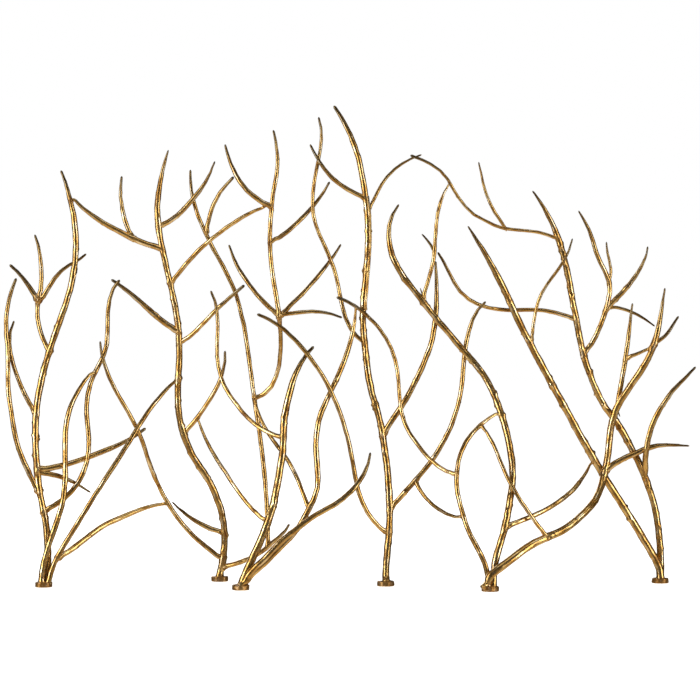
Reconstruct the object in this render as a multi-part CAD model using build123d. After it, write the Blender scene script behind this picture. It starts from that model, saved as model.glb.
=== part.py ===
from build123d import *
import math
import os

# A free-standing fireplace screen: forged iron branches welded to each other on six round feet.
# Millimetres. X runs along the width, -Y faces the room, +Z is up and the feet stand on Z = 0.

FOOT_RADIUS = 16.0
FOOT_HEIGHT = 10.0
FOOT_EDGE = 2.5            # rounding of a foot's two rims
SECTION_SPACING = 20.0     # distance between the round sections that a branch runs through
NARROWING = 0.18           # share of its base radius that a branch has lost by the end of its body
POINT_REACH = 17.0         # a branch is drawn out to its tip over this many base radii
POINT_CURVE = 0.7          # below 1 the drawn-out end is fuller than a cone

# The branches are laid out on the front elevation, as someone facing the screen sees them.
VIEW_DISTANCE = 4600.0
VIEW_HEIGHT = 416.0
BACK = Vector(0, 1, 0)     # the seam of each bar's surface runs along this side, clear of the welds

BEAM = 5.8                 # base radii of the forged bars
TRUNK = 5.3
LIMB = 4.5
BRANCH = 3.9
STEM = 3.5
SWITCH = 3.1
THIN = 2.5
BLUNT = 2.1                # tip radii
TIP = 1.6
FINE = 1.1

# Centre of each foot on the floor: X, Y
FEET = {
    "far_left_foot": (-539, -20),
    "left_rear_foot": (-236, 95),
    "left_front_foot": (-191, -75),
    "centre_foot": (61, 0),
    "right_front_foot": (240, -101),
    "far_right_foot": (552, 60),
}

solids = {}                # every forged piece before its ends are fitted
members = {}               # node: the pieces that it holds
welds = {}                 # piece: the pieces that its ends are fitted against


def along_sight(x, y, z):
    """Sets a point of the front elevation back to depth y along the line of sight."""
    spread = 1 + y / VIEW_DISTANCE
    return Vector(x * spread, y, VIEW_HEIGHT + (z - VIEW_HEIGHT) * spread)


def radius_at(t, length, base_radius, tip_radius):
    """A branch's radius at share t of its length: a slowly narrowing body, then a drawn-out tip."""
    body = base_radius * (1 - NARROWING * t)
    share = min(1, (1 - t) * length / (POINT_REACH * base_radius))
    return tip_radius + (body - tip_radius) * share**POINT_CURVE


def forged_bar(base_radius, tip_radius, route):
    """A round tapering bar that follows a smooth curve through its route."""
    curve = Spline(*[along_sight(*point) for point in route])
    count = max(5, math.ceil(curve.length / SECTION_SPACING) + 1)
    sections = []
    for step in range(count):
        t = step / (count - 1)
        tangent = curve % t
        radius = radius_at(t, curve.length, base_radius, tip_radius)
        seam_side = BACK - tangent * tangent.dot(BACK)
        sections.append(Plane(curve @ t, x_dir=seam_side, z_dir=tangent) * Circle(radius))
    return loft(sections, ruled=True).solid()


def branch(name, base_radius, tip_radius, route, welded_to, node=None):
    """Adds one branch. Each route point is (across, depth, height), from its base to its tip."""
    solids[name] = forged_bar(base_radius, tip_radius, route)
    members.setdefault(node or name, []).append(name)
    welds[name] = welded_to


def fitted(name):
    """A piece with its ends cut back to the surface of whatever it is welded to."""
    if not welds[name]:
        return solids[name]
    left = solids[name].cut(*[solids[other] for other in welds[name]])
    return max(left.solids(), key=lambda solid: solid.volume)


def add_feet():
    for name, (x, y) in FEET.items():
        foot = Pos(x, y, FOOT_HEIGHT / 2) * Cylinder(FOOT_RADIUS, FOOT_HEIGHT)
        rims = foot.edges().filter_by(GeomType.CIRCLE)
        solids[name] = fillet(rims, FOOT_EDGE).solid()
        members[name] = [name]
        welds[name] = []


def add_far_left_branches():
    branch("far_left_trunk", TRUNK, TIP, [
        (-538, -14, 4), (-534, -14, 57), (-538, -14, 113), (-547, -13, 158), (-555, -11, 230),
        (-555, -9, 300), (-548, -7, 352), (-524, -5, 437), (-500, -3, 505), (-485, -1, 587),
        (-486, 0, 630), (-492, 1, 668), (-511, 2, 732),
    ], ["far_left_foot"])
    branch("far_left_front_limb", LIMB, BLUNT, [
        (-546, -25, 4), (-538, -27, 53), (-528, -27, 86), (-507, -24, 154), (-504, -16, 250),
        (-499, -10, 300), (-484, 2, 338), (-458, 17, 376),
    ], ["far_left_foot"])
    branch("far_left_long_limb", BRANCH, BLUNT, [
        (-534, -25, 4), (-519, -25, 48), (-497, -20, 86), (-468, -12, 133), (-434, -2, 187),
        (-398, 12, 243), (-365, 26, 296), (-339, 38, 331), (-306, 48, 365),
    ], ["far_left_foot", "left_rear_trunk"])
    branch("far_left_low_brace", LIMB, BLUNT, [
        (-517, -25, 50), (-483, -4, 71), (-443, 24, 102), (-400, 47, 123), (-362, 64, 138),
        (-322, 80, 146),
    ], ["far_left_long_limb", "left_rear_thin_limb"])
    branch("far_left_outer_branch", BRANCH, BLUNT, [
        (-546, -13, 155), (-571, -16, 207), (-588, -19, 250), (-598, -21, 302), (-604, -22, 350),
        (-605, -22, 420), (-608, -22, 460), (-605, -21, 493), (-590, -20, 542),
    ], ["far_left_trunk"])
    branch("far_left_outer_twig", STEM, TIP, [
        (-555, -9, 302), (-579, -10, 347), (-595, -12, 389), (-602, -13, 425), (-594, -12, 467),
    ], ["far_left_trunk"], node="left_side_twigs")
    branch("far_left_low_twig", BRANCH, FINE, [
        (-551, -12, 199), (-519, -9, 195), (-495, -1, 186), (-472, 6, 173), (-459, 10, 165),
    ], ["far_left_trunk", "far_left_cross_branch"], node="left_side_twigs")
    branch("far_left_fork_stem", STEM, STEM, [
        (-530, -5, 410), (-542, -2, 434), (-551, 1, 463), (-553, 3, 485), (-551, 4, 506),
    ], ["far_left_trunk"])
    branch("far_left_fork_outer_prong", BRANCH, BLUNT, [
        (-551, 4, 502), (-564, 2, 523), (-584, -1, 550), (-601, -4, 566),
    ], ["far_left_fork_stem"], node="outer_prongs")
    branch("far_left_fork_upper_prong", STEM, TIP, [
        (-551, 4, 504), (-546, 5, 530), (-546, 6, 560), (-549, 7, 590), (-557, 8, 619),
    ], ["far_left_fork_stem", "far_left_fork_outer_prong"], node="short_prongs")
    branch("far_left_fork_inner_prong", STEM, TIP, [
        (-552, 4, 500), (-541, 5, 512), (-523, 7, 541), (-501, 9, 563), (-476, 10, 577),
        (-467, 10, 585),
    ], [
        "far_left_fork_stem", "far_left_fork_outer_prong", "far_left_fork_upper_prong",
    ], node="inner_prongs")
    branch("far_left_s_branch", BRANCH, BLUNT, [
        (-540, -14, 133), (-515, -13, 147), (-488, -8, 172), (-470, -3, 205), (-462, 3, 245),
        (-466, 13, 310), (-463, 17, 343), (-449, 22, 381), (-434, 25, 412), (-429, 23, 445),
        (-427, 15, 497), (-408, 8, 539),
    ], ["far_left_trunk"])
    branch("far_left_cross_branch", LIMB, BLUNT, [
        (-552, -12, 206), (-506, -4, 213), (-462, 11, 228), (-407, 32, 250), (-362, 50, 278),
    ], ["far_left_trunk"])


def add_left_rear_branches():
    branch("left_rear_trunk", TRUNK, FINE, [
        (-232, 95, 15), (-224, 91, 60), (-226, 84, 122), (-237, 79, 158), (-254, 74, 192),
        (-278, 68, 228), (-293, 63, 262), (-303, 58, 300), (-305, 52, 343), (-303, 41, 434),
        (-309, 34, 488), (-322, 28, 547), (-332, 23, 592), (-340, 18, 640), (-341, 15, 672),
        (-336, 11, 713), (-322, 8, 768),
    ], ["left_rear_foot"])
    branch("left_rear_thin_limb", STEM, TIP, [
        (-225, 92, 46), (-260, 92, 73), (-287, 90, 98), (-310, 85, 127), (-336, 74, 170),
        (-356, 56, 219), (-378, 35, 280), (-411, 22, 338), (-430, 16, 378), (-442, 11, 431),
    ], ["left_rear_trunk"])
    branch("left_rear_low_twig", BRANCH, FINE, [
        (-225, 88, 93), (-260, 91, 107), (-294, 92, 129), (-315, 89, 148),
    ], ["left_rear_trunk"], node="left_side_twigs")
    branch("left_rear_low_brace", BRANCH, TIP, [
        (-226, 93, 33), (-191, 72, 44), (-158, 48, 60), (-135, 24, 80), (-116, 4, 97),
        (-109, -6, 109),
    ], ["left_rear_trunk"])
    branch("left_rear_bud_branch", LIMB, BLUNT, [
        (-304, 39, 449), (-339, 36, 472), (-376, 31, 505), (-403, 25, 527), (-422, 21, 540),
    ], ["left_rear_trunk"])
    branch("left_rear_right_branch", STEM, BLUNT, [
        (-303, 42, 429), (-278, 36, 445), (-251, 28, 473), (-205, 20, 516), (-188, 15, 530),
    ], ["left_rear_trunk"])
    branch("left_rear_upper_branch", LIMB, BLUNT, [
        (-333, 22, 595), (-361, 20, 603), (-407, 14, 624), (-443, 9, 644), (-488, 3, 681),
    ], ["left_rear_trunk"])
    branch("left_rear_upper_twig", STEM, TIP, [
        (-383, 17, 611), (-398, 15, 644), (-405, 13, 677), (-404, 12, 722),
    ], ["left_rear_upper_branch"], node="left_side_twigs")
    branch("left_rear_crown_branch", BRANCH, FINE, [
        (-340, 19, 634), (-321, 17, 642), (-289, 14, 670), (-263, 11, 702), (-240, 8, 748),
    ], ["left_rear_trunk"])
    branch("left_rear_long_side_branch", STEM, BLUNT, [
        (-319, 30, 532), (-290, 24, 568), (-263, 20, 597), (-231, 14, 623), (-195, 6, 648),
        (-152, -2, 668),
    ], ["left_rear_trunk"])
    branch("left_rear_inner_branch", STEM, TIP, [
        (-294, 64, 268), (-270, 58, 298), (-249, 50, 329), (-231, 40, 363), (-222, 30, 414),
    ], ["left_rear_trunk"])


def add_left_front_branches():
    branch("left_front_trunk", BEAM, BLUNT, [
        (-195, -75, -1), (-177, -72, 42), (-158, -69, 84), (-140, -65, 133), (-128, -60, 189),
        (-120, -55, 243), (-118, -50, 289), (-110, -45, 334), (-96, -40, 378), (-66, -33, 422),
    ], ["left_front_foot"])
    branch("left_front_tall_stem", STEM, TIP, [
        (-147, 38, 69), (-147, 39, 110), (-151, 40, 180), (-164, 42, 289), (-177, 42, 380),
        (-193, 39, 479), (-207, 36, 525), (-234, 34, 579), (-254, 31, 617), (-280, 28, 690),
        (-283, 26, 733),
    ], ["left_rear_low_brace"])
    branch("left_front_side_branch", SWITCH, TIP, [
        (-147, -67, 113), (-186, -42, 149), (-220, -10, 198), (-249, 25, 245), (-269, 54, 292),
    ], ["left_front_trunk", "left_rear_inner_branch"])
    branch("left_front_low_limb", LIMB, TIP, [
        (-190, -83, 1), (-180, -83, 20), (-150, -82, 51), (-122, -80, 80), (-93, -77, 102),
        (-63, -72, 125), (-27, -66, 145), (5, -58, 172), (34, -43, 235),
    ], ["left_front_foot", "left_front_trunk"])
    branch("left_front_cross_branch", SWITCH, TIP, [
        (-120, -53, 261), (-150, -40, 273), (-177, -25, 291), (-202, -8, 320), (-222, 4, 350),
        (-234, 10, 388), (-236, 10, 425), (-235, 8, 465), (-247, 3, 520),
    ], ["left_front_trunk"])
    branch("left_front_wavy_limb", LIMB, TIP, [
        (-188, -65, 2), (-175, -64, 20), (-150, -65, 42), (-125, -64, 68), (-103, -61, 90),
        (-72, -56, 140), (-60, -53, 170), (-59, -49, 203), (-62, -43, 248), (-55, -36, 298),
        (-27, -26, 361), (-3, -16, 423), (8, -7, 489),
    ], ["left_front_foot"])
    branch("left_front_link", SWITCH, BLUNT, [
        (-74, -57, 133), (-91, -44, 180), (-107, -29, 214), (-137, 4, 257), (-157, 24, 289),
        (-170, 42, 333),
    ], ["left_front_wavy_limb", "left_front_tall_stem"], node="middle_twigs")
    branch("fork_stem", STEM, STEM, [
        (-170, 42, 331), (-144, 35, 347), (-129, 25, 380), (-124, 11, 421), (-127, -6, 480),
    ], ["left_front_tall_stem", "left_front_link"])
    branch("fork_tall_prong", STEM, TIP, [
        (-127, -6, 470), (-131, -7, 505), (-139, -8, 554), (-143, -8, 610), (-141, -7, 655),
        (-136, -6, 699), (-130, -5, 735), (-130, -4, 762), (-137, -3, 803),
    ], ["fork_stem"])
    branch("fork_left_prong", STEM, TIP, [
        (-125, -6, 474), (-144, -4, 491), (-171, 2, 520), (-195, 6, 554), (-215, 10, 601),
    ], ["fork_stem", "fork_tall_prong"], node="outer_prongs")
    branch("fork_right_prong", STEM, TIP, [
        (-124, -5, 477), (-107, -3, 494), (-81, 4, 520), (-53, 11, 552), (-18, 19, 602),
    ], ["fork_stem", "fork_tall_prong", "fork_left_prong"], node="inner_prongs")
    branch("fork_low_prong", SWITCH, TIP, [
        (-126, -6, 478), (-100, -9, 481), (-63, -9, 484), (-45, -8, 482), (-16, -8, 473),
    ], [
        "fork_stem", "fork_tall_prong", "fork_left_prong", "fork_right_prong",
    ], node="short_prongs")
    branch("fork_upper_twig", BRANCH, TIP, [
        (-140, -7, 668), (-162, -8, 680), (-186, -6, 700), (-207, -2, 733), (-222, 4, 778),
    ], ["fork_tall_prong"], node="middle_twigs")
    branch("tall_stem_twig", STEM, BLUNT, [
        (-256, 31, 620), (-252, 28, 640), (-238, 18, 682), (-224, 11, 702), (-207, 4, 721),
    ], ["left_front_tall_stem"], node="middle_twigs")
    branch("fork_upper_link", STEM, TIP, [
        (-143, -8, 606), (-125, -6, 615), (-96, 0, 639), (-72, 6, 663), (-49, 4, 693),
        (-38, -3, 712),
    ], ["fork_tall_prong"], node="middle_twigs")


def add_centre_branches():
    branch("centre_trunk", TRUNK, BLUNT, [
        (62, 0, 6), (63, 0, 50), (67, 0, 95), (68, 0, 149), (64, 1, 203), (57, 2, 257),
        (47, 2, 307), (34, 2, 351), (26, 1, 408), (21, 0, 460), (21, 0, 490), (25, 0, 538),
        (30, 0, 605), (28, 0, 668), (22, 0, 709), (12, 1, 758), (-2, 2, 796), (-30, 3, 846),
    ], ["centre_foot"])
    branch("centre_left_long_branch", STEM, BLUNT, [
        (67, 0, 92), (45, -7, 109), (27, -14, 134), (14, -19, 165), (3, -26, 219),
        (-9, -32, 273), (-27, -38, 325), (-49, -42, 369), (-78, -44, 410), (-109, -45, 444),
        (-165, -42, 479),
    ], ["centre_trunk"])
    branch("centre_right_low_branch", BRANCH, TIP, [
        (69, 0, 137), (90, -3, 160), (115, -4, 188), (146, -3, 227), (173, -1, 275),
        (190, 3, 325), (196, 5, 361), (200, 7, 408), (208, 7, 452), (220, 5, 481),
        (237, 0, 501),
    ], ["centre_trunk"])
    branch("centre_low_link", SWITCH, BLUNT, [
        (113, -4, 186), (132, -22, 155), (158, -48, 133), (183, -72, 122), (199, -84, 121),
    ], ["centre_right_low_branch", "right_front_inner_limb"], node="middle_twigs")
    branch("centre_left_limb", SWITCH, TIP, [
        (24, 1, 428), (2, 3, 450), (-11, 3, 477), (-19, 2, 511), (-29, 0, 556), (-44, -1, 594),
        (-60, -2, 630), (-67, -3, 659), (-67, -3, 690), (-62, -3, 728), (-54, -3, 770),
        (-57, -1, 826),
    ], ["centre_trunk"])
    branch("centre_left_upper_branch", STEM, TIP, [
        (26, 0, 683), (-6, -6, 699), (-34, -11, 720), (-53, -13, 744), (-72, -12, 778),
    ], ["centre_trunk"])
    branch("centre_arch_twig", THIN, FINE, [
        (29, 0, 658), (42, 1, 685), (58, 3, 714), (81, 5, 738), (124, 6, 760),
    ], ["centre_trunk"], node="middle_twigs")
    branch("centre_right_upright_branch", LIMB, TIP, [
        (55, 2, 264), (74, 2, 295), (94, 2, 325), (113, 2, 360), (133, 4, 405), (145, 6, 444),
        (150, 7, 485), (151, 7, 520), (149, 6, 572),
    ], ["centre_trunk"])


def add_right_front_branches():
    branch("right_front_inner_limb", BRANCH, BLUNT, [
        (242, -99, -2), (229, -97, 55), (210, -90, 91), (198, -82, 123), (188, -72, 163),
        (186, -62, 198), (191, -54, 227), (202, -47, 253), (228, -38, 284), (257, -27, 304),
    ], ["right_front_foot"])
    branch("right_front_long_limb", TRUNK, TIP, [
        (251, -94, -2), (259, -88, 62), (272, -79, 107), (280, -68, 151), (285, -56, 190),
        (284, -49, 212), (278, -36, 255), (268, -26, 293), (254, -17, 332), (234, -9, 372),
        (205, -2, 407), (176, -2, 441), (144, -3, 479), (117, -4, 514), (94, -4, 543),
        (74, -4, 579), (66, -4, 618), (84, -4, 672),
    ], ["right_front_foot"])
    branch("right_front_outer_limb", BEAM, FINE, [
        (237, -111, 0), (243, -111, 15), (257, -109, 28), (286, -99, 50), (318, -84, 73),
        (351, -66, 88), (377, -49, 101), (404, -28, 122), (425, -8, 144), (440, 18, 173),
        (448, 34, 203), (453, 34, 236), (457, 31, 276), (464, 27, 304), (485, 22, 342),
        (512, 16, 381), (533, 12, 423), (544, 9, 466), (553, 6, 525),
    ], ["right_front_foot"])
    branch("right_front_top_branch", SWITCH, FINE, [
        (127, -4, 502), (133, -6, 529), (143, -8, 563), (148, -8, 601), (151, -6, 645),
        (160, -4, 684), (174, -2, 711),
    ], ["right_front_long_limb"])
    branch("right_front_top_twig", THIN, FINE, [
        (148, -8, 588), (140, -7, 602), (125, -6, 620),
    ], ["right_front_top_branch"], node="right_side_twigs")
    branch("right_front_low_branch", BRANCH, TIP, [
        (272, -79, 104), (299, -69, 115), (328, -53, 127), (357, -34, 143), (387, -10, 165),
        (407, 12, 189), (424, 38, 218),
    ], ["right_front_long_limb"])
    branch("right_front_low_link", SWITCH, BLUNT, [
        (345, -69, 86), (317, -77, 124), (290, -75, 165), (270, -66, 203), (254, -55, 243),
        (229, -39, 283),
    ], ["right_front_outer_limb", "right_front_inner_limb"], node="right_side_twigs")
    branch("crossing_switch", SWITCH, BLUNT, [
        (186, -62, 196), (160, -50, 207), (138, -38, 224), (115, -28, 252), (97, -20, 282),
        (88, -14, 311), (82, -9, 379), (72, -8, 416), (56, -9, 446), (34, -10, 471),
        (12, -11, 490), (-25, -10, 509),
    ], ["right_front_inner_limb"])


def add_far_right_branches():
    branch("far_right_leaning_limb", BEAM, FINE, [
        (546, 54, 11), (545, 54, 26), (539, 54, 42), (519, 53, 77), (494, 50, 118),
        (458, 46, 174), (415, 39, 246), (382, 33, 305), (347, 27, 369), (325, 23, 410),
        (296, 18, 466), (267, 14, 529), (239, 10, 581), (206, 7, 634),
    ], ["far_right_foot"])
    branch("far_right_trunk", TRUNK, FINE, [
        (546, 66, 11), (546, 65, 39), (541, 59, 104), (535, 56, 140), (524, 52, 176),
        (512, 48, 207), (497, 45, 237), (465, 40, 293), (446, 37, 318), (430, 34, 350),
        (416, 30, 387), (406, 27, 423), (399, 24, 459), (392, 21, 495), (386, 18, 529),
        (373, 14, 588), (351, 9, 646), (320, 5, 696),
    ], ["far_right_foot"])
    branch("far_right_top_arch", THIN, BLUNT, [
        (366, 12, 611), (346, 12, 619), (321, 12, 625), (285, 12, 628), (259, 11, 633),
        (238, 10, 643), (216, 8, 655), (198, 6, 673), (182, 4, 695), (167, 3, 722),
        (149, 2, 738), (105, -1, 759),
    ], ["far_right_trunk"])
    branch("far_right_cross_branch", SWITCH, TIP, [
        (397, 23, 469), (370, 25, 479), (345, 26, 485), (312, 26, 487), (283, 26, 486),
        (258, 23, 488), (230, 15, 494), (212, 11, 502), (189, 6, 523), (171, 3, 556),
        (153, 1, 588),
    ], ["far_right_trunk"])
    branch("far_right_upright_branch", THIN, FINE, [
        (318, 21, 427), (321, 15, 456), (326, 12, 487), (337, 10, 518), (357, 8, 547),
        (374, 4, 572), (390, 4, 612),
    ], ["far_right_leaning_limb"])
    branch("far_right_inner_upright", BRANCH, FINE, [
        (463, 40, 296), (469, 39, 315), (472, 36, 335), (477, 32, 361), (483, 28, 397),
        (488, 24, 434), (496, 17, 498),
    ], ["far_right_trunk"])
    branch("far_right_crown_branch", BRANCH, FINE, [
        (410, 28, 410), (421, 27, 423), (434, 25, 446), (444, 23, 472), (452, 22, 497),
        (456, 20, 529), (450, 18, 550), (436, 16, 577), (427, 14, 606), (416, 12, 635),
        (401, 10, 661),
    ], ["far_right_trunk"])
    branch("far_right_crown_prong", BRANCH, FINE, [
        (450, 22, 489), (470, 20, 509), (488, 17, 529), (504, 14, 550), (523, 11, 598),
    ], ["far_right_crown_branch"])
    branch("far_right_thin_arm", THIN, FINE, [
        (451, 22, 491), (466, 24, 491), (477, 25, 489), (499, 25, 481), (535, 18, 458),
    ], ["far_right_crown_branch", "far_right_crown_prong"])
    branch("far_right_low_arm", LIMB, FINE, [
        (450, 34, 206), (466, 33, 217), (499, 34, 233), (533, 34, 246), (564, 31, 249),
        (596, 29, 247),
    ], ["right_front_outer_limb"])
    branch("far_right_outer_branch", LIMB, TIP, [
        (517, 49, 189), (519, 39, 208), (519, 29, 227), (522, 23, 250), (527, 20, 273),
        (537, 17, 299), (552, 15, 324), (568, 13, 346), (587, 11, 365), (607, 9, 386),
    ], ["far_right_trunk"])
    branch("far_right_top_twig", THIN, FINE, [
        (276, 12, 627), (266, 11, 640), (250, 9, 664), (237, 8, 695), (225, 6, 747),
    ], ["far_right_top_arch"], node="right_side_twigs")
    branch("far_right_outer_twig", SWITCH, TIP, [
        (536, 11, 431), (548, 11, 436), (562, 10, 452), (577, 9, 475),
    ], ["right_front_outer_limb"], node="right_side_twigs")
    branch("far_right_short_link", SWITCH, BLUNT, [
        (484, 28, 401), (497, 24, 406), (515, 18, 414), (530, 14, 421),
    ], ["far_right_inner_upright", "right_front_outer_limb"], node="right_side_twigs")
    branch("far_right_crown_twig", THIN, FINE, [
        (455, 19, 538), (458, 18, 556), (456, 17, 570), (450, 15, 606),
    ], ["far_right_crown_branch"], node="right_side_twigs")


add_feet()
add_far_left_branches()
add_left_rear_branches()
add_left_front_branches()
add_centre_branches()
add_right_front_branches()
add_far_right_branches()

nodes = {node: [fitted(name) for name in names] for node, names in members.items()}

# The origin is the middle of the screen's footprint, on the floor.
extent = Compound([piece for pieces in nodes.values() for piece in pieces]).bounding_box()
centre = extent.center()
to_origin = Pos(-centre.X, -centre.Y, 0)
os.makedirs("parts", exist_ok=True)
for node, pieces in nodes.items():
    export_step(Compound([to_origin * piece for piece in pieces]), f"parts/{node}.step")
print("size", extent.size, "moved by", -centre.X, -centre.Y, "lowest", extent.min.Z)
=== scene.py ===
import bpy
import heapq
import math
import numpy as np
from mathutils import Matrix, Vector


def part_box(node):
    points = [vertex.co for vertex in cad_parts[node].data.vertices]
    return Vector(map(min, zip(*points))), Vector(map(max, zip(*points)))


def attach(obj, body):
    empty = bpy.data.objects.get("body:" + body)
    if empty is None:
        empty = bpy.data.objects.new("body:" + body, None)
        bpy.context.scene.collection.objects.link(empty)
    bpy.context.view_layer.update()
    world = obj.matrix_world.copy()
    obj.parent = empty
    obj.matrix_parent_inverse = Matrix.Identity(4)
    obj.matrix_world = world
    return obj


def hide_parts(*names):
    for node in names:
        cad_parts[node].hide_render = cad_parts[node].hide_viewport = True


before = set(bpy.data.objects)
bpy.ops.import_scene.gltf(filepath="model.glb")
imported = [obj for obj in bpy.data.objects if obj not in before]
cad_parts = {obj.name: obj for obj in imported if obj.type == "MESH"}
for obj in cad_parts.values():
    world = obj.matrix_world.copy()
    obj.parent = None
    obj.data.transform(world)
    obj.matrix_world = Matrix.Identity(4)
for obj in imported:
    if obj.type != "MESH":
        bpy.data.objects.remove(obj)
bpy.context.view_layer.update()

# Metres throughout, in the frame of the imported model: +X right, -Y towards the room, +Z up.

# Reading the CAD bars.
SLICE_STEP = 0.007            # distance between the slices that find a bar's middle line
FIRST_RADIUS = 0.004          # the radius of a slice that can't be measured
WIDEST = 0.0075               # no surface of a bar is further than this from its middle
BESIDE_END = 0.008            # what lies further aside isn't part of a bar's own end
WELD_REACH = 0.0115           # an end this near to another bar's middle is welded to it
BEHIND, BEYOND = 0.002, 0.0065  # how far back of an end, and past its tip, a weld may lie
JOINED = 0.004                # a middle line nearer than this to a welded end carries its joint
SHARP = 0.001315              # an end thinner than this is a free point
SEATED = 0.02                 # a base lower than this stands in a foot
SINK = 0.003                  # how far a trunk's base runs down into its foot

# Forging the bars. Swellings, bites and heights are shares of a bar's radius.
SIDES = 18                    # corners round a bar
RING_STEP = 0.0022            # distance between its rings
THICKER = 1.20                # thickness of a forged bar next to its CAD bar
HEAVY_RADIUS = 0.0046         # a bar with a thicker base than this is worked as a heavy one
OVAL = 0.05                   # how far a bar is from round
BASE_BEAD, END_BEAD, JOINT_BEAD = (0.24, 0.005), (0.30, 0.004), (0.10, 0.006)
BUD = (0.30, 0.0032)          # like the beads: swelling, and how far along the bar it reaches
BLOWS_ROUND = 4               # hammer blows round a bar at each step along it
BITE = (0.01, 0.06)           # how deep a blow goes
FLAT_CURVE = (0.05, 0.11)     # radius of a blow's flat along the bar, in metres
FLAT_HALF = 0.014             # furthest that a flat reaches to each side, in metres
FLAT_ANGLE = 1.25             # and round the bar, in radians
BEAD_KNOT = (0.12, 0.28)      # height of the knots beside a weld
KNOT_LENGTH, KNOT_ANGLE = (0.0016, 0.0036), (0.3, 0.55)
TIP_ROUND, TIP_LEAST = 0.0022, 0.45   # length over which a free tip closes, and its last size
TIP_WEAR = 0.05               # how far back from a free tip the gilding is worn

# How heavy and light bars differ: waver in thickness, distance between rows of blows, how much
# longer the flats are, distance between knots and height of the knots.
HEAVY = {"waver": 0.03, "blow_step": 0.006, "flat": 1, "knot_step": 0.024, "knot": (0.14, 0.42)}
LIGHT = {"waver": 0.018, "blow_step": 0.012, "flat": 2, "knot_step": 0.050, "knot": (0.06, 0.22)}

# Feet.
FOOT_SIDES = 72               # corners round a foot
RIM, RIM_STEPS = 0.0028, 7    # radius of its two rounded rims, and points on each
FOOT_BLOWS = 150
FACE_UP = 0.7                 # a blow tilted more than this falls on the top of a foot

# Colours of the finish.
DEEP_GOLD, PALE_GOLD = (0.48, 0.250, 0.052), (0.70, 0.48, 0.18)
WORN_GOLD = (0.93, 0.82, 0.62)
RUBBED_BROWN = (0.17, 0.062, 0.010)
BARE_IRON = (0.070, 0.056, 0.034)

# Bars whose end also passes the next branch without touching it.
LOOSE_TIPS = {"far_right_top_arch", "far_right_thin_arm"}

# Thick bars that are worked as light ones.
SMOOTH = {"right_front_outer_limb", "far_left_front_limb", "left_front_tall_stem"}

# Buds on the branches, as the x and z nearest to each.
BUDS = {
    "left_rear_bud_branch": [(-0.348, 0.481)],
    "centre_right_low_branch": [(0.097, 0.163)],
    "left_front_wavy_limb": [(-0.027, 0.360)],
    "far_right_leaning_limb": [(0.361, 0.356), (0.373, 0.316), (0.283, 0.501)],
    "far_right_trunk": [(0.450, 0.318), (0.425, 0.376), (0.475, 0.276), (0.495, 0.253),
                        (0.377, 0.601)],
    "far_right_crown_prong": [(0.485, 0.492), (0.505, 0.513)],
    "centre_trunk": [(0.03, 0.318), (0.03, 0.400), (0.01, 0.560)],
}
# Short thorns: the x and z where each leaves its branch, and of its point.
THORNS = {
    "centre_left_limb": [(-0.003, 0.463, 0.013, 0.443)],
    "right_front_top_branch": [(0.128, 0.508, 0.115, 0.522), (0.128, 0.508, 0.121, 0.526)],
    "far_right_inner_upright": [(0.466, 0.312, 0.471, 0.297)],
}
# Thin strands laid along a thicker bar: from one height to another, and how far aside.
STRANDS = {"centre_trunk": [(0.690, 0.485, 0.0040, -0.0035)]}

rng = np.random.default_rng(228)


# --- Middle lines of the CAD bars ------------------------------------------------------------

def solids_of(obj):
    """The separate closed solids of a CAD node: a list of (points, edges)."""
    mesh = obj.data
    mesh.calc_loop_triangles()
    points = np.empty(len(mesh.vertices) * 3)
    mesh.vertices.foreach_get("co", points)
    points = points.reshape(-1, 3)
    corners = np.empty(len(mesh.loop_triangles) * 3, np.int32)
    mesh.loop_triangles.foreach_get("vertices", corners)
    _, first, merged = np.unique(
        np.round(points * 1e6).astype(np.int64), axis=0, return_index=True, return_inverse=True)
    points = points[first]
    triangles = merged.reshape(-1)[corners].reshape(-1, 3)
    edges = np.vstack([triangles[:, [0, 1]], triangles[:, [1, 2]], triangles[:, [2, 0]]])
    edges = np.unique(np.sort(edges, axis=1), axis=0)
    edges = edges[edges[:, 0] != edges[:, 1]]
    group = np.arange(len(points))
    while True:
        low = np.minimum(group[edges[:, 0]], group[edges[:, 1]])
        new = group.copy()
        np.minimum.at(new, edges[:, 0], low)
        np.minimum.at(new, edges[:, 1], low)
        new = new[new]
        if (new == group).all():
            break
        group = new
    found = []
    for label in np.unique(group):
        inside = np.flatnonzero(group == label)
        renumber = np.full(len(points), -1)
        renumber[inside] = np.arange(len(inside))
        own = edges[group[edges[:, 0]] == label]
        found.append((points[inside], renumber[own]))
    return found


def walk(points, edges, start):
    """Distance of every point from one of them, along the mesh."""
    lengths = np.linalg.norm(points[edges[:, 0]] - points[edges[:, 1]], axis=1)
    near = [[] for _ in points]
    for (a, b), length in zip(edges.tolist(), lengths.tolist()):
        near[a].append((b, length))
        near[b].append((a, length))
    distance = np.full(len(points), np.inf)
    distance[start] = 0.0
    queue = [(0.0, start)]
    while queue:
        so_far, here = heapq.heappop(queue)
        if so_far > distance[here]:
            continue
        for other, length in near[here]:
            if so_far + length < distance[other]:
                distance[other] = so_far + length
                heapq.heappush(queue, (so_far + length, other))
    return distance


def crossings(points, edges, height):
    """Where the mesh's edges pass through height zero."""
    a, b = height[edges[:, 0]], height[edges[:, 1]]
    cut = edges[(a > 0) != (b > 0)]
    a, b = height[cut[:, 0]], height[cut[:, 1]]
    share = (a / (a - b))[:, None]
    return points[cut[:, 0]] * (1 - share) + points[cut[:, 1]] * share


def directions(line):
    """Unit direction of a line at each of its points."""
    slope = np.gradient(line, axis=0)
    return slope / np.linalg.norm(slope, axis=1)[:, None]


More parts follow.
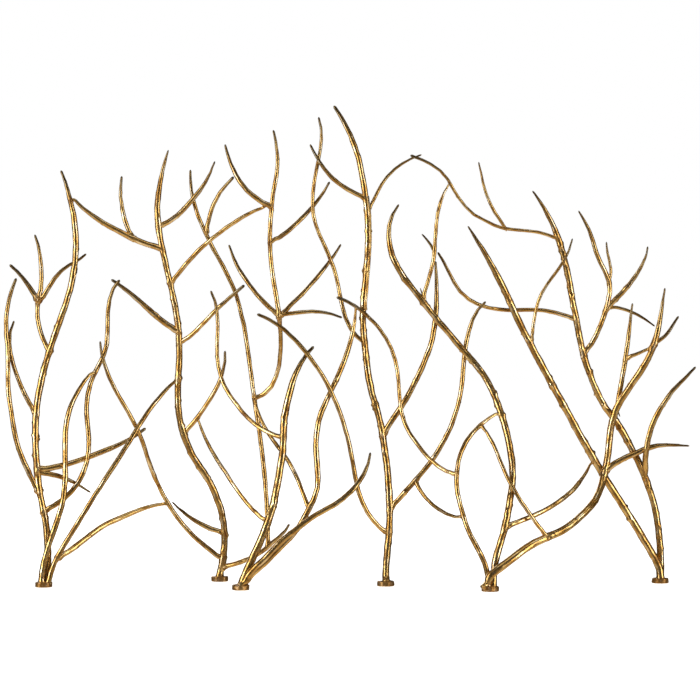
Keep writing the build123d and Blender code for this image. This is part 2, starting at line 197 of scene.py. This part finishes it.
def middle_line(points, edges):
    """The middle line of a long round solid, from its thick end to its thin end, and its radii."""
    far = int(walk(points, edges, 0).argmax())
    distance = walk(points, edges, far)
    total = distance.max()
    margin = min(0.008, total * 0.12)
    levels = np.linspace(margin, total - margin * 0.5, max(4, int(total / SLICE_STEP)))
    line = np.array([crossings(points, edges, distance - level).mean(axis=0) for level in levels])
    radii = np.full(len(line), FIRST_RADIUS)
    for _ in range(3):
        ways = directions(line)
        for i, (centre, way) in enumerate(zip(line.copy(), ways)):
            ring = crossings(points, edges, (points - centre) @ way)
            ring = ring[np.linalg.norm(ring - centre, axis=1) < WIDEST]
            if len(ring) >= 6:
                line[i] = ring.mean(axis=0)
                radii[i] = np.linalg.norm(ring - line[i], axis=1).mean()
    if radii[:3].mean() < radii[-3:].mean():
        line, radii = line[::-1], radii[::-1]
    return line, radii


def reach_out(points, end, way):
    """How far a solid goes on past the end of its middle line."""
    ahead = (points - end) @ way
    aside = np.linalg.norm(points - end - ahead[:, None] * way, axis=1)
    return float(ahead[aside < BESIDE_END].max())


def welded_end(end, way, reach, own, bars):
    """Where a bar's end would meet the middle of another bar, or None if it ends in the air."""
    best, meeting = WELD_REACH, None
    for other in bars:
        if other is own:
            continue
        gap = other["line"] - end
        ahead = gap @ way
        aside = np.linalg.norm(gap - ahead[:, None] * way, axis=1)
        away = (ahead < -BEHIND) | (ahead > reach + BEYOND)
        cost = aside + 0.25 * np.abs(ahead) + np.where(away, 1.0, 0.0)
        nearest = int(cost.argmin())
        if cost[nearest] < best:
            best, meeting = cost[nearest], (other, nearest)
    return meeting


def finish_ends(bars):
    """Runs every bar's ends into what they are welded to, or out to their full length."""
    finished = []
    for bar in bars:
        line, radii, welds = bar["line"], bar["radii"], []
        ways = directions(line)
        caps = []
        for end, way in ((line[0], -ways[0]), (line[-1], ways[-1])):
            reach = reach_out(bar["points"], end, way)
            if caps:
                free = radii[-1] < SHARP or bar["node"] in LOOSE_TIPS
            else:
                free = end[2] < SEATED
            meeting = None if free else welded_end(end, way, reach, bar, bars)
            if meeting:
                other, nearest = meeting
                caps.append(other["line"][nearest])
                welds.append(float(other["radii"][nearest]))
            else:
                caps.append(end + way * reach)
                welds.append(0.0)
        if not welds[0]:
            caps[0] = caps[0] - ways[0] * SINK
        finished.append((
            np.vstack([caps[0], line, caps[1]]),
            np.concatenate([[radii[0]], radii, [radii[-1]]]), welds))
    for bar, (line, radii, welds) in zip(bars, finished):
        bar["line"], bar["radii"], bar["welds"] = line, radii, welds


def resampled(line, radii, step):
    """The same line as a smooth curve through its points, at even steps."""
    gaps = np.linalg.norm(np.diff(line, axis=0), axis=1)
    along = np.concatenate([[0.0], np.cumsum(gaps)])
    slope = np.gradient(line, along, axis=0)
    count = max(6, int(round(along[-1] / step)) + 1)
    wanted = np.linspace(0.0, along[-1], count)
    index = np.clip(np.searchsorted(along, wanted, side="right") - 1, 0, len(along) - 2)
    width = (along[index + 1] - along[index])[:, None]
    t = ((wanted - along[index])[:, None]) / width
    smooth = (
        (2 * t**3 - 3 * t**2 + 1) * line[index] + (t**3 - 2 * t**2 + t) * width * slope[index]
        + (3 * t**2 - 2 * t**3) * line[index + 1] + (t**3 - t**2) * width * slope[index + 1])
    return smooth, np.interp(wanted, along, radii), wanted


# --- Forged bars -----------------------------------------------------------------------------

def carried_frames(line):
    """Two directions square to the line at each point, carried along it without twisting."""
    ways = directions(line)
    side = np.cross(ways[0], (0.0, 1.0, 0.0))
    side /= np.linalg.norm(side)
    sides = [side]
    for way in ways[1:]:
        side = side - way * side.dot(way)
        side = side / np.linalg.norm(side)
        sides.append(side)
    sides = np.array(sides)
    return sides, np.cross(ways, sides)


def slow_noise(along, spacing, size):
    """Smooth random waver along a bar, of about the given size."""
    knots = np.arange(0, along[-1] + spacing * 2, spacing)
    values = rng.normal(0, size, len(knots))
    return np.interp(along, knots, values)


def angle_between(a, b):
    """How far apart two directions round a bar are, in radians."""
    return np.abs((a - b + np.pi) % (2 * np.pi) - np.pi)


def beads_on(bar, length):
    """The weld beads of a bar, as place, swelling and reach."""
    base, end = bar["welds"]
    beads = [(base, *BASE_BEAD)]
    if end:
        beads.append((length - end, *END_BEAD))
    return beads + [(place, *JOINT_BEAD) for place in bar["joints"]]


def beat_flats(surface, size, along, angles, work):
    """Beats flats into the rings of a bar."""
    length = along[-1]
    blows = int(length / work["blow_step"] * BLOWS_ROUND)
    for place, face, bite, curve in zip(
            rng.uniform(0, length, blows), rng.uniform(0, 2 * np.pi, blows),
            rng.uniform(*BITE, blows), rng.uniform(*FLAT_CURVE, blows) * work["flat"]):
        first, last = np.searchsorted(along, [place - FLAT_HALF, place + FLAT_HALF])
        if last - first < 2:
            continue
        middle = min(int(place / length * len(along)), len(along) - 1)
        apart = angle_between(angles, face)
        flat = size[middle] * (1 - bite) / np.cos(np.minimum(apart, FLAT_ANGLE))
        rise = (along[first:last] - place) ** 2 / (2 * curve)
        surface[first:last] = np.minimum(surface[first:last], flat[None, :] + rise[:, None])


def raise_knots(surface, size, along, angles, beads, work):
    """Raises knots on the rings of a bar, some at random and two beside every bead."""
    length = along[-1]
    knots = [(rng.uniform(0.01, max(length * 0.86, 0.011)), rng.uniform(*work["knot"]))
             for _ in range(int(length / work["knot_step"]))]
    knots += [(place + rng.normal(0, 0.003), rng.uniform(*BEAD_KNOT))
              for place, _, _ in beads for _ in range(2)]
    for place, height in knots:
        face = rng.uniform(0, 2 * np.pi)
        middle = min(max(int(place / length * len(along)), 0), len(along) - 1)
        long, wide = rng.uniform(*KNOT_LENGTH), rng.uniform(*KNOT_ANGLE)
        lump = np.exp(-((along - place) / long) ** 2)[:, None]
        lump = lump * np.exp(-(angle_between(angles, face) / wide) ** 2)[None, :]
        surface += size[middle] * height * lump


def forged_bar(bar):
    """Ring points of one hammered bar, what the finish needs to know of each, and its line.

    For every point: how hollow or welded it is, how near to a free tip, and where it lies
    along and round the bar.
    """
    line, radius, along = resampled(bar["line"], bar["radii"], RING_STEP)
    length, free_tip = along[-1], not bar["welds"][1]
    angles = np.arange(SIDES) * 2 * np.pi / SIDES
    thick = radius[: max(3, len(radius) // 5)].mean() > HEAVY_RADIUS
    work = HEAVY if thick and bar["node"] not in SMOOTH else LIGHT

    waver = np.vstack([slow_noise(along, 0.016, 0.0002) for _ in range(3)]).T
    fade = np.clip(along / 0.01, 0, 1)[:, None] * np.clip((length - along) / 0.01, 0, 1)[:, None]
    line = line + waver * fade
    size = radius * (THICKER + slow_noise(along, 0.010, work["waver"]))
    beads = beads_on(bar, length)
    browned = sum(np.exp(-((along - place) / (reach * 1.6)) ** 2) for place, _, reach in beads)
    beads += [(place, *BUD) for place in bar["buds"]]
    for place, swell, reach in beads:
        size = size * (1 + swell * np.exp(-((along - place) / reach) ** 2))

    surface = np.repeat(size[:, None], SIDES, axis=1)
    turn = slow_noise(along, 0.03, 0.7)[:, None]
    surface = surface * (1 + OVAL * np.cos(2 * (angles[None, :] - turn)))
    unbeaten = surface.copy()
    beat_flats(surface, size, along, angles, work)
    raise_knots(surface, size, along, angles, beads, work)
    if free_tip:
        closing = np.clip((length - along) / TIP_ROUND, 0, 1) ** 0.5
        surface = surface * np.maximum(closing, TIP_LEAST)[:, None]

    sides, ups = carried_frames(line)
    ring = (
        line[:, None, :]
        + surface[:, :, None] * (
            np.cos(angles)[None, :, None] * sides[:, None, :]
            + np.sin(angles)[None, :, None] * ups[:, None, :]))
    hollow = np.clip((unbeaten - surface) / unbeaten * 4.0, -1, 1)
    hollow = np.maximum(hollow, 0.55 * np.minimum(browned, 1.0)[:, None])
    tipward = np.exp(-((length - along) / TIP_WEAR) ** 1.4) * (1.0 if free_tip else 0.0)
    drawn = np.stack([
        np.repeat(along[:, None] * 0.25, SIDES, axis=1) + rng.uniform(0, 9),
        surface * np.cos(angles)[None, :], surface * np.sin(angles)[None, :]], axis=2)
    return ring, hollow, np.repeat(tipward[:, None], SIDES, axis=1), drawn, line


def bar_mesh(ring, line):
    """Corners and faces of a closed tube through the rings."""
    count = len(ring)
    corners = ring.reshape(-1, 3)
    around = np.arange(SIDES)
    following = (around + 1) % SIDES
    faces = []
    for i in range(count - 1):
        low, high = i * SIDES, (i + 1) * SIDES
        faces.extend(zip(low + around, low + following, high + following, high + around))
    base, tip = len(corners), len(corners) + 1
    end_way = line[-1] - line[-2]
    end_way = end_way / np.linalg.norm(end_way)
    corners = np.vstack([corners, line[0], line[-1] + end_way * 0.0006])
    last = (count - 1) * SIDES
    faces.extend((base, following[j], around[j]) for j in range(SIDES))
    faces.extend((tip, last + around[j], last + following[j]) for j in range(SIDES))
    return corners, [tuple(int(c) for c in face) for face in faces]


def piece_from(name, corners, faces, marks):
    """A smooth-shaded mesh object with a mark, or three, on every corner for each attribute."""
    mesh = bpy.data.meshes.new(name)
    mesh.from_pydata(corners.tolist(), [], faces)
    for mark, values in marks.items():
        values = np.asarray(values, np.float32)
        kind, part = ("FLOAT", "value") if values.ndim == 1 else ("FLOAT_VECTOR", "vector")
        mesh.attributes.new(mark, kind, "POINT").data.foreach_set(part, values.ravel())
    mesh.polygons.foreach_set("use_smooth", [True] * len(mesh.polygons))
    mesh.update()
    piece = bpy.data.objects.new(name, mesh)
    bpy.context.scene.collection.objects.link(piece)
    return piece


def forged_piece(node, bars):
    """One node's bars as one detailed piece."""
    corners, faces, hollows, tips, places, start = [], [], [], [], [], 0
    for bar in bars:
        ring, hollow, tipward, drawn, line = forged_bar(bar)
        own_corners, own_faces = bar_mesh(ring, line)
        corners.append(own_corners)
        faces.extend(tuple(c + start for c in face) for face in own_faces)
        hollows.append(np.concatenate([hollow.reshape(-1), [0.5, 0.0]]))
        tips.append(np.concatenate([tipward.reshape(-1), [0.0, tipward.max()]]))
        end_places = (drawn[0].mean(axis=0), drawn[-1].mean(axis=0))
        places.append(np.vstack([drawn.reshape(-1, 3), *end_places]))
        start += len(own_corners)
    marks = {
        "hollow": np.concatenate(hollows), "tip": np.concatenate(tips),
        "drawn": np.vstack(places)}
    return piece_from(node + "_forged", np.vstack(corners), faces, marks)


def find_joints(bars):
    """Marks on every bar the places where another bar's end is welded to it."""
    for bar in bars:
        bar["joints"] = []
    for child in bars:
        for end, weld in zip((child["line"][0], child["line"][-1]), child["welds"]):
            for parent in bars:
                if parent is child or not weld:
                    continue
                gaps = np.linalg.norm(parent["line"] - end, axis=1)
                if gaps.min() < JOINED:
                    parent["joints"].append(place_along(parent["line"], end))


def place_along(line, spot):
    """Distance along a line to its point nearest to a spot."""
    steps = np.linalg.norm(np.diff(line, axis=0), axis=1)
    return float(steps[: int(np.linalg.norm(line - spot, axis=1).argmin())].sum())


def on_branch(bars, x, z):
    """The bar passing nearest to a spot seen from the front, and where on it that is."""
    gaps = [np.hypot(bar["line"][:, 0] - x, bar["line"][:, 2] - z) for bar in bars]
    nearest = int(np.argmin([gap.min() for gap in gaps]))
    return bars[nearest], int(gaps[nearest].argmin())


def small_bar(node, line, base, tip):
    """A thin bar along a line, without joints of its own."""
    return {"node": node, "line": line, "radii": np.linspace(base, tip, len(line)),
            "welds": [0.001, 0.0], "joints": [], "buds": []}


def add_small_work(bars):
    """Marks the buds, and adds the thorns and the strands to the bars."""
    by_node = {}
    for bar in bars:
        by_node.setdefault(bar["node"], []).append(bar)
    for node, spots in BUDS.items():
        for x, z in spots:
            bar, index = on_branch(by_node[node], x, z)
            bar["buds"].append(place_along(bar["line"], bar["line"][index]))
    for node, spots in THORNS.items():
        for x, z, tip_x, tip_z in spots:
            bar, index = on_branch(by_node[node], x, z)
            root = bar["line"][index]
            way = np.array([tip_x - x, -0.004, tip_z - z])
            share = np.linspace(0, 1, 6)[:, None]
            bars.append(small_bar(node, root + way * share, 0.0016, 0.0007))
    for node, strands in STRANDS.items():
        for high, low, aside, forward in strands:
            bar = by_node[node][0]
            chosen = (bar["line"][:, 2] < high) & (bar["line"][:, 2] > low)
            line = bar["line"][chosen] + (aside, forward, 0)
            bars.append(small_bar(node, line, 0.0024, 0.0018))


# --- Feet ------------------------------------------------------------------------------------

def hammered_foot(node):
    """A low round disc with rounded rims, beaten flat by hand."""
    low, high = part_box(node)
    centre = (low + high) / 2
    radius, height = (high.x - low.x) / 2, high.z - low.z
    profile = [(radius * share, 0.0) for share in (0.25, 0.5, 0.72)]
    for rim_height, first in ((RIM, -math.pi / 2), (height - RIM, 0.0)):
        for i in range(RIM_STEPS):
            turn = first + i * math.pi / 12
            profile.append((
                radius - RIM + RIM * math.cos(turn), rim_height + RIM * math.sin(turn)))
    profile += [(radius * share, height) for share in (0.72, 0.55, 0.38, 0.2)]
    count = FOOT_SIDES
    angles = np.arange(count) * 2 * np.pi / count
    corners = np.array([
        (out * math.cos(angle), out * math.sin(angle), up) for out, up in profile
        for angle in angles])
    still = corners[:, 2] < 0.0008
    worn = np.zeros(len(corners))
    for _ in range(FOOT_BLOWS):
        face, tilt = rng.uniform(0, 2 * np.pi), rng.uniform(-0.15, 0.5) * math.pi
        normal = np.array([
            math.cos(tilt) * math.cos(face), math.cos(tilt) * math.sin(face), math.sin(tilt)])
        spot = np.array([radius * math.cos(face), radius * math.sin(face), 0.0])
        if tilt > FACE_UP:
            spot *= rng.uniform(0.45, 1.0)
            spot[2] = height
        else:
            spot[2] = rng.uniform(0.002, 0.008)
        near = np.exp(-(np.linalg.norm(corners - spot, axis=1) / rng.uniform(0.002, 0.0045)) ** 2)
        bite = rng.uniform(0.0001, 0.00055) * near
        bite[still] = 0
        corners -= normal * bite[:, None]
        worn += bite / 0.0005
    corners[:, 2] = np.clip(corners[:, 2], 0, None)
    faces = []
    for i in range(len(profile) - 1):
        for j in range(count):
            k = (j + 1) % count
            faces.append((i * count + j, i * count + k, (i + 1) * count + k, (i + 1) * count + j))
    bottom, top = len(corners), len(corners) + 1
    corners = np.vstack([corners, (0, 0, 0), (0, 0, height)])
    worn = np.concatenate([worn, [0, 0]])
    last = (len(profile) - 1) * count
    faces += [(bottom, (j + 1) % count, j) for j in range(count)]
    faces += [(top, last + j, last + (j + 1) % count) for j in range(count)]
    corners += np.array((centre.x, centre.y, low.z))
    return piece_from(
        node + "_hammered", corners, faces,
        {"hollow": worn, "tip": np.zeros(len(corners)), "drawn": corners})


# --- Materials -------------------------------------------------------------------------------

class Nodes:
    """Short calls for the node tree of one material."""

    def __init__(self, name):
        self.material = bpy.data.materials.new(name)
        self.material.use_nodes = True
        self.tree = self.material.node_tree
        self.shader = self.tree.nodes["Principled BSDF"]

    def add(self, kind, **settings):
        node = self.tree.nodes.new(kind)
        for key, value in settings.items():
            if key in node.inputs:
                node.inputs[key].default_value = value
            else:
                setattr(node, key, value)
        return node

    def link(self, out, into):
        self.tree.links.new(out, into)

    def noise(self, place, scale, detail=4.0):
        node = self.add("ShaderNodeTexNoise", Scale=scale, Detail=detail, Roughness=0.6)
        self.link(place, node.inputs["Vector"])
        return node.outputs["Fac"]

    def band(self, value, low, high, to_low=0.0, to_high=1.0):
        node = self.add("ShaderNodeMapRange")
        node.inputs["From Min"].default_value = low
        node.inputs["From Max"].default_value = high
        node.inputs["To Min"].default_value = to_low
        node.inputs["To Max"].default_value = to_high
        self.link(value, node.inputs["Value"])
        return node.outputs["Result"]

    def combine(self, a, b, operation="ADD"):
        node = self.add("ShaderNodeMath", operation=operation, use_clamp=True)
        self.link(a, node.inputs[0])
        self.link(b, node.inputs[1])
        return node.outputs[0]

    def mix(self, share, a, b):
        node = self.add("ShaderNodeMix", data_type="RGBA")
        self.link(share, node.inputs["Factor"])
        for value, socket in ((a, node.inputs[6]), (b, node.inputs[7])):
            if isinstance(value, tuple):
                socket.default_value = (*value, 1.0)
            else:
                self.link(value, socket)
        return node.outputs[2]

    def mark(self, name, output="Fac"):
        return self.add("ShaderNodeAttribute", attribute_name=name).outputs[output]


def gilded_iron(name, brown):
    """Antique gold leaf over hammered iron, with brown rubbed into it. More brown is darker."""
    n = Nodes(name)
    place = n.add("ShaderNodeTexCoord").outputs["Object"]
    drawn = n.mark("drawn", "Vector")
    leaf = n.noise(place, 55.0, 5.0)
    mottle = n.noise(drawn, 190.0, 4.0)
    grain = n.noise(drawn, 800.0, 3.0)
    gold = n.mix(n.band(leaf, 0.36, 0.64), DEEP_GOLD, PALE_GOLD)
    gold = n.mix(n.band(mottle, 0.53, 0.72), gold, WORN_GOLD)
    rubbed = n.band(mottle, 0.47 + brown, 0.31 + brown)
    rubbed = n.combine(rubbed, n.band(n.mark("hollow"), 0.30, 0.95, 0.0, 0.7))
    rubbed = n.combine(rubbed, n.band(grain, 0.36, 0.26, 0.0, 0.35))
    colour = n.mix(rubbed, gold, RUBBED_BROWN)
    bare = n.combine(n.mark("tip"), n.band(mottle, 0.3, 0.7, 0.65, 1.0), "MULTIPLY")
    colour = n.mix(bare, colour, BARE_IRON)
    n.link(colour, n.shader.inputs["Base Color"])
    n.link(n.band(rubbed, 0.0, 1.0, 0.95, 0.6), n.shader.inputs["Metallic"])
    worn = n.combine(rubbed, n.band(grain, 0.3, 0.7, 0.0, 0.25))
    n.link(n.band(worn, 0.0, 1.0, 0.20, 0.40), n.shader.inputs["Roughness"])
    bump = n.add("ShaderNodeBump", Strength=0.12, Distance=0.0005)
    height = n.combine(n.band(mottle, 0.2, 0.8, 0.0, 0.7), n.band(grain, 0.2, 0.8, 0.0, 0.3))
    n.link(height, bump.inputs["Height"])
    n.link(bump.outputs["Normal"], n.shader.inputs["Normal"])
    return n.material


def studio_white():
    """The floor: an even, shining white."""
    n = Nodes("studio_white")
    place = n.add("ShaderNodeTexCoord").outputs["Object"]
    n.link(n.mix(n.noise(place, 3.0), (0.90, 0.90, 0.90), (0.94, 0.94, 0.94)),
           n.shader.inputs["Base Color"])
    n.shader.inputs["Roughness"].default_value = 0.9
    n.shader.inputs["Emission Color"].default_value = (1, 1, 1, 1)
    n.shader.inputs["Emission Strength"].default_value = 1.0
    return n.material


# --- The object ------------------------------------------------------------------------------

feet = [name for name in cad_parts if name.endswith("_foot")]
iron = gilded_iron("gilded_iron", 0.0)
foot_iron = gilded_iron("gilded_foot", -0.12)

bars = []
for node, obj in sorted(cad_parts.items()):
    if node not in feet:
        for points, edges in solids_of(obj):
            line, radii = middle_line(points, edges)
            bars.append({"node": node, "points": points, "line": line, "radii": radii, "buds": []})
finish_ends(bars)
find_joints(bars)
add_small_work(bars)

for node in sorted(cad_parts):
    if node in feet:
        piece, finish, slot = hammered_foot(node), foot_iron, "gilded_foot"
    else:
        piece = forged_piece(node, [bar for bar in bars if bar["node"] == node])
        finish, slot = iron, "gilded_iron"
    piece.data.materials.append(finish)
    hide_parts(node)
    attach(piece, "root")


# --- Floor, light and camera -----------------------------------------------------------------

HALF_FLOOR = 30.0
white = studio_white()
floor = piece_from("floor", np.array(
    [(x * HALF_FLOOR, y * HALF_FLOOR, 0.0) for x, y in ((-1, -1), (1, -1), (1, 1), (-1, 1))]),
    [(0, 1, 2, 3)], {})
floor.data.materials.append(white)
floor.visible_glossy = False


def area_light(name, place, target, size, power, colour):
    """A softbox of one width and height, turned towards its target."""
    data = bpy.data.lights.new(name, "AREA")
    data.shape, data.energy, data.color = "RECTANGLE", power, colour
    data.size, data.size_y = size
    light = bpy.data.objects.new(name, data)
    light.location = place
    light.rotation_euler = (Vector(target) - Vector(place)).to_track_quat("-Z", "Y").to_euler()
    bpy.context.scene.collection.objects.link(light)


area_light("key", (-2.8, -2.0, 0.9), (0, 0, 0.4), (1.5, 2.8), 78, (1.0, 1.0, 0.98))
area_light("fill", (2.8, -2.0, 0.8), (0, 0, 0.4), (1.3, 2.8), 56, (1.0, 0.97, 0.90))
area_light("top", (0.3, -1.2, 3.2), (0, 0, 0.2), (2.6, 1.0), 14, (1.0, 0.98, 0.92))
area_light("back", (-1.2, 3.2, 1.4), (0, 0, 0.4), (1.6, 2.4), 30, (1.0, 0.97, 0.92))


def studio_world():
    """A white room to the camera. To the metal it is dark above and bright below."""
    world = bpy.data.worlds.new("studio")
    world.use_nodes = True
    tree = world.node_tree
    shown = tree.nodes["Background"]
    shown.inputs["Color"].default_value = (1, 1, 1, 1)
    room = tree.nodes.new("ShaderNodeBackground")
    room.inputs["Color"].default_value = (1.0, 0.84, 0.60, 1)
    way = tree.nodes.new("ShaderNodeSeparateXYZ")
    tree.links.new(tree.nodes.new("ShaderNodeTexCoord").outputs["Generated"], way.inputs[0])
    fall = tree.nodes.new("ShaderNodeMapRange")
    fall.interpolation_type = "SMOOTHSTEP"
    limits = {"From Min": -0.85, "From Max": -0.12, "To Min": 1.0, "To Max": 0.045}
    for name, value in limits.items():
        fall.inputs[name].default_value = value
    tree.links.new(way.outputs["Z"], fall.inputs["Value"])
    tree.links.new(fall.outputs["Result"], room.inputs["Strength"])
    either = tree.nodes.new("ShaderNodeMixShader")
    tree.links.new(
        tree.nodes.new("ShaderNodeLightPath").outputs["Is Camera Ray"], either.inputs["Fac"])
    tree.links.new(room.outputs[0], either.inputs[1])
    tree.links.new(shown.outputs[0], either.inputs[2])
    tree.links.new(either.outputs[0], tree.nodes["World Output"].inputs["Surface"])
    return world


bpy.context.scene.world = studio_world()
bpy.context.scene.view_settings.view_transform = "Standard"

CAMERA = (-0.0023, -4.597, 0.416)
SENSOR = 36.0                 # width of the camera's sensor, in millimetres
FROM_CAMERA = 4.6             # distance to the middle of the screen's depth
SEEN_WIDTH = 1.2334           # what the view spans at that distance
camera_data = bpy.data.cameras.new("camera")
camera_data.sensor_width = SENSOR
camera_data.lens = SENSOR * FROM_CAMERA / SEEN_WIDTH
camera_data.clip_end = 50.0
camera = bpy.data.objects.new("camera", camera_data)
camera.location = CAMERA
camera.rotation_euler = (math.radians(90), 0, 0)
bpy.context.scene.collection.objects.link(camera)
bpy.context.scene.camera = camera
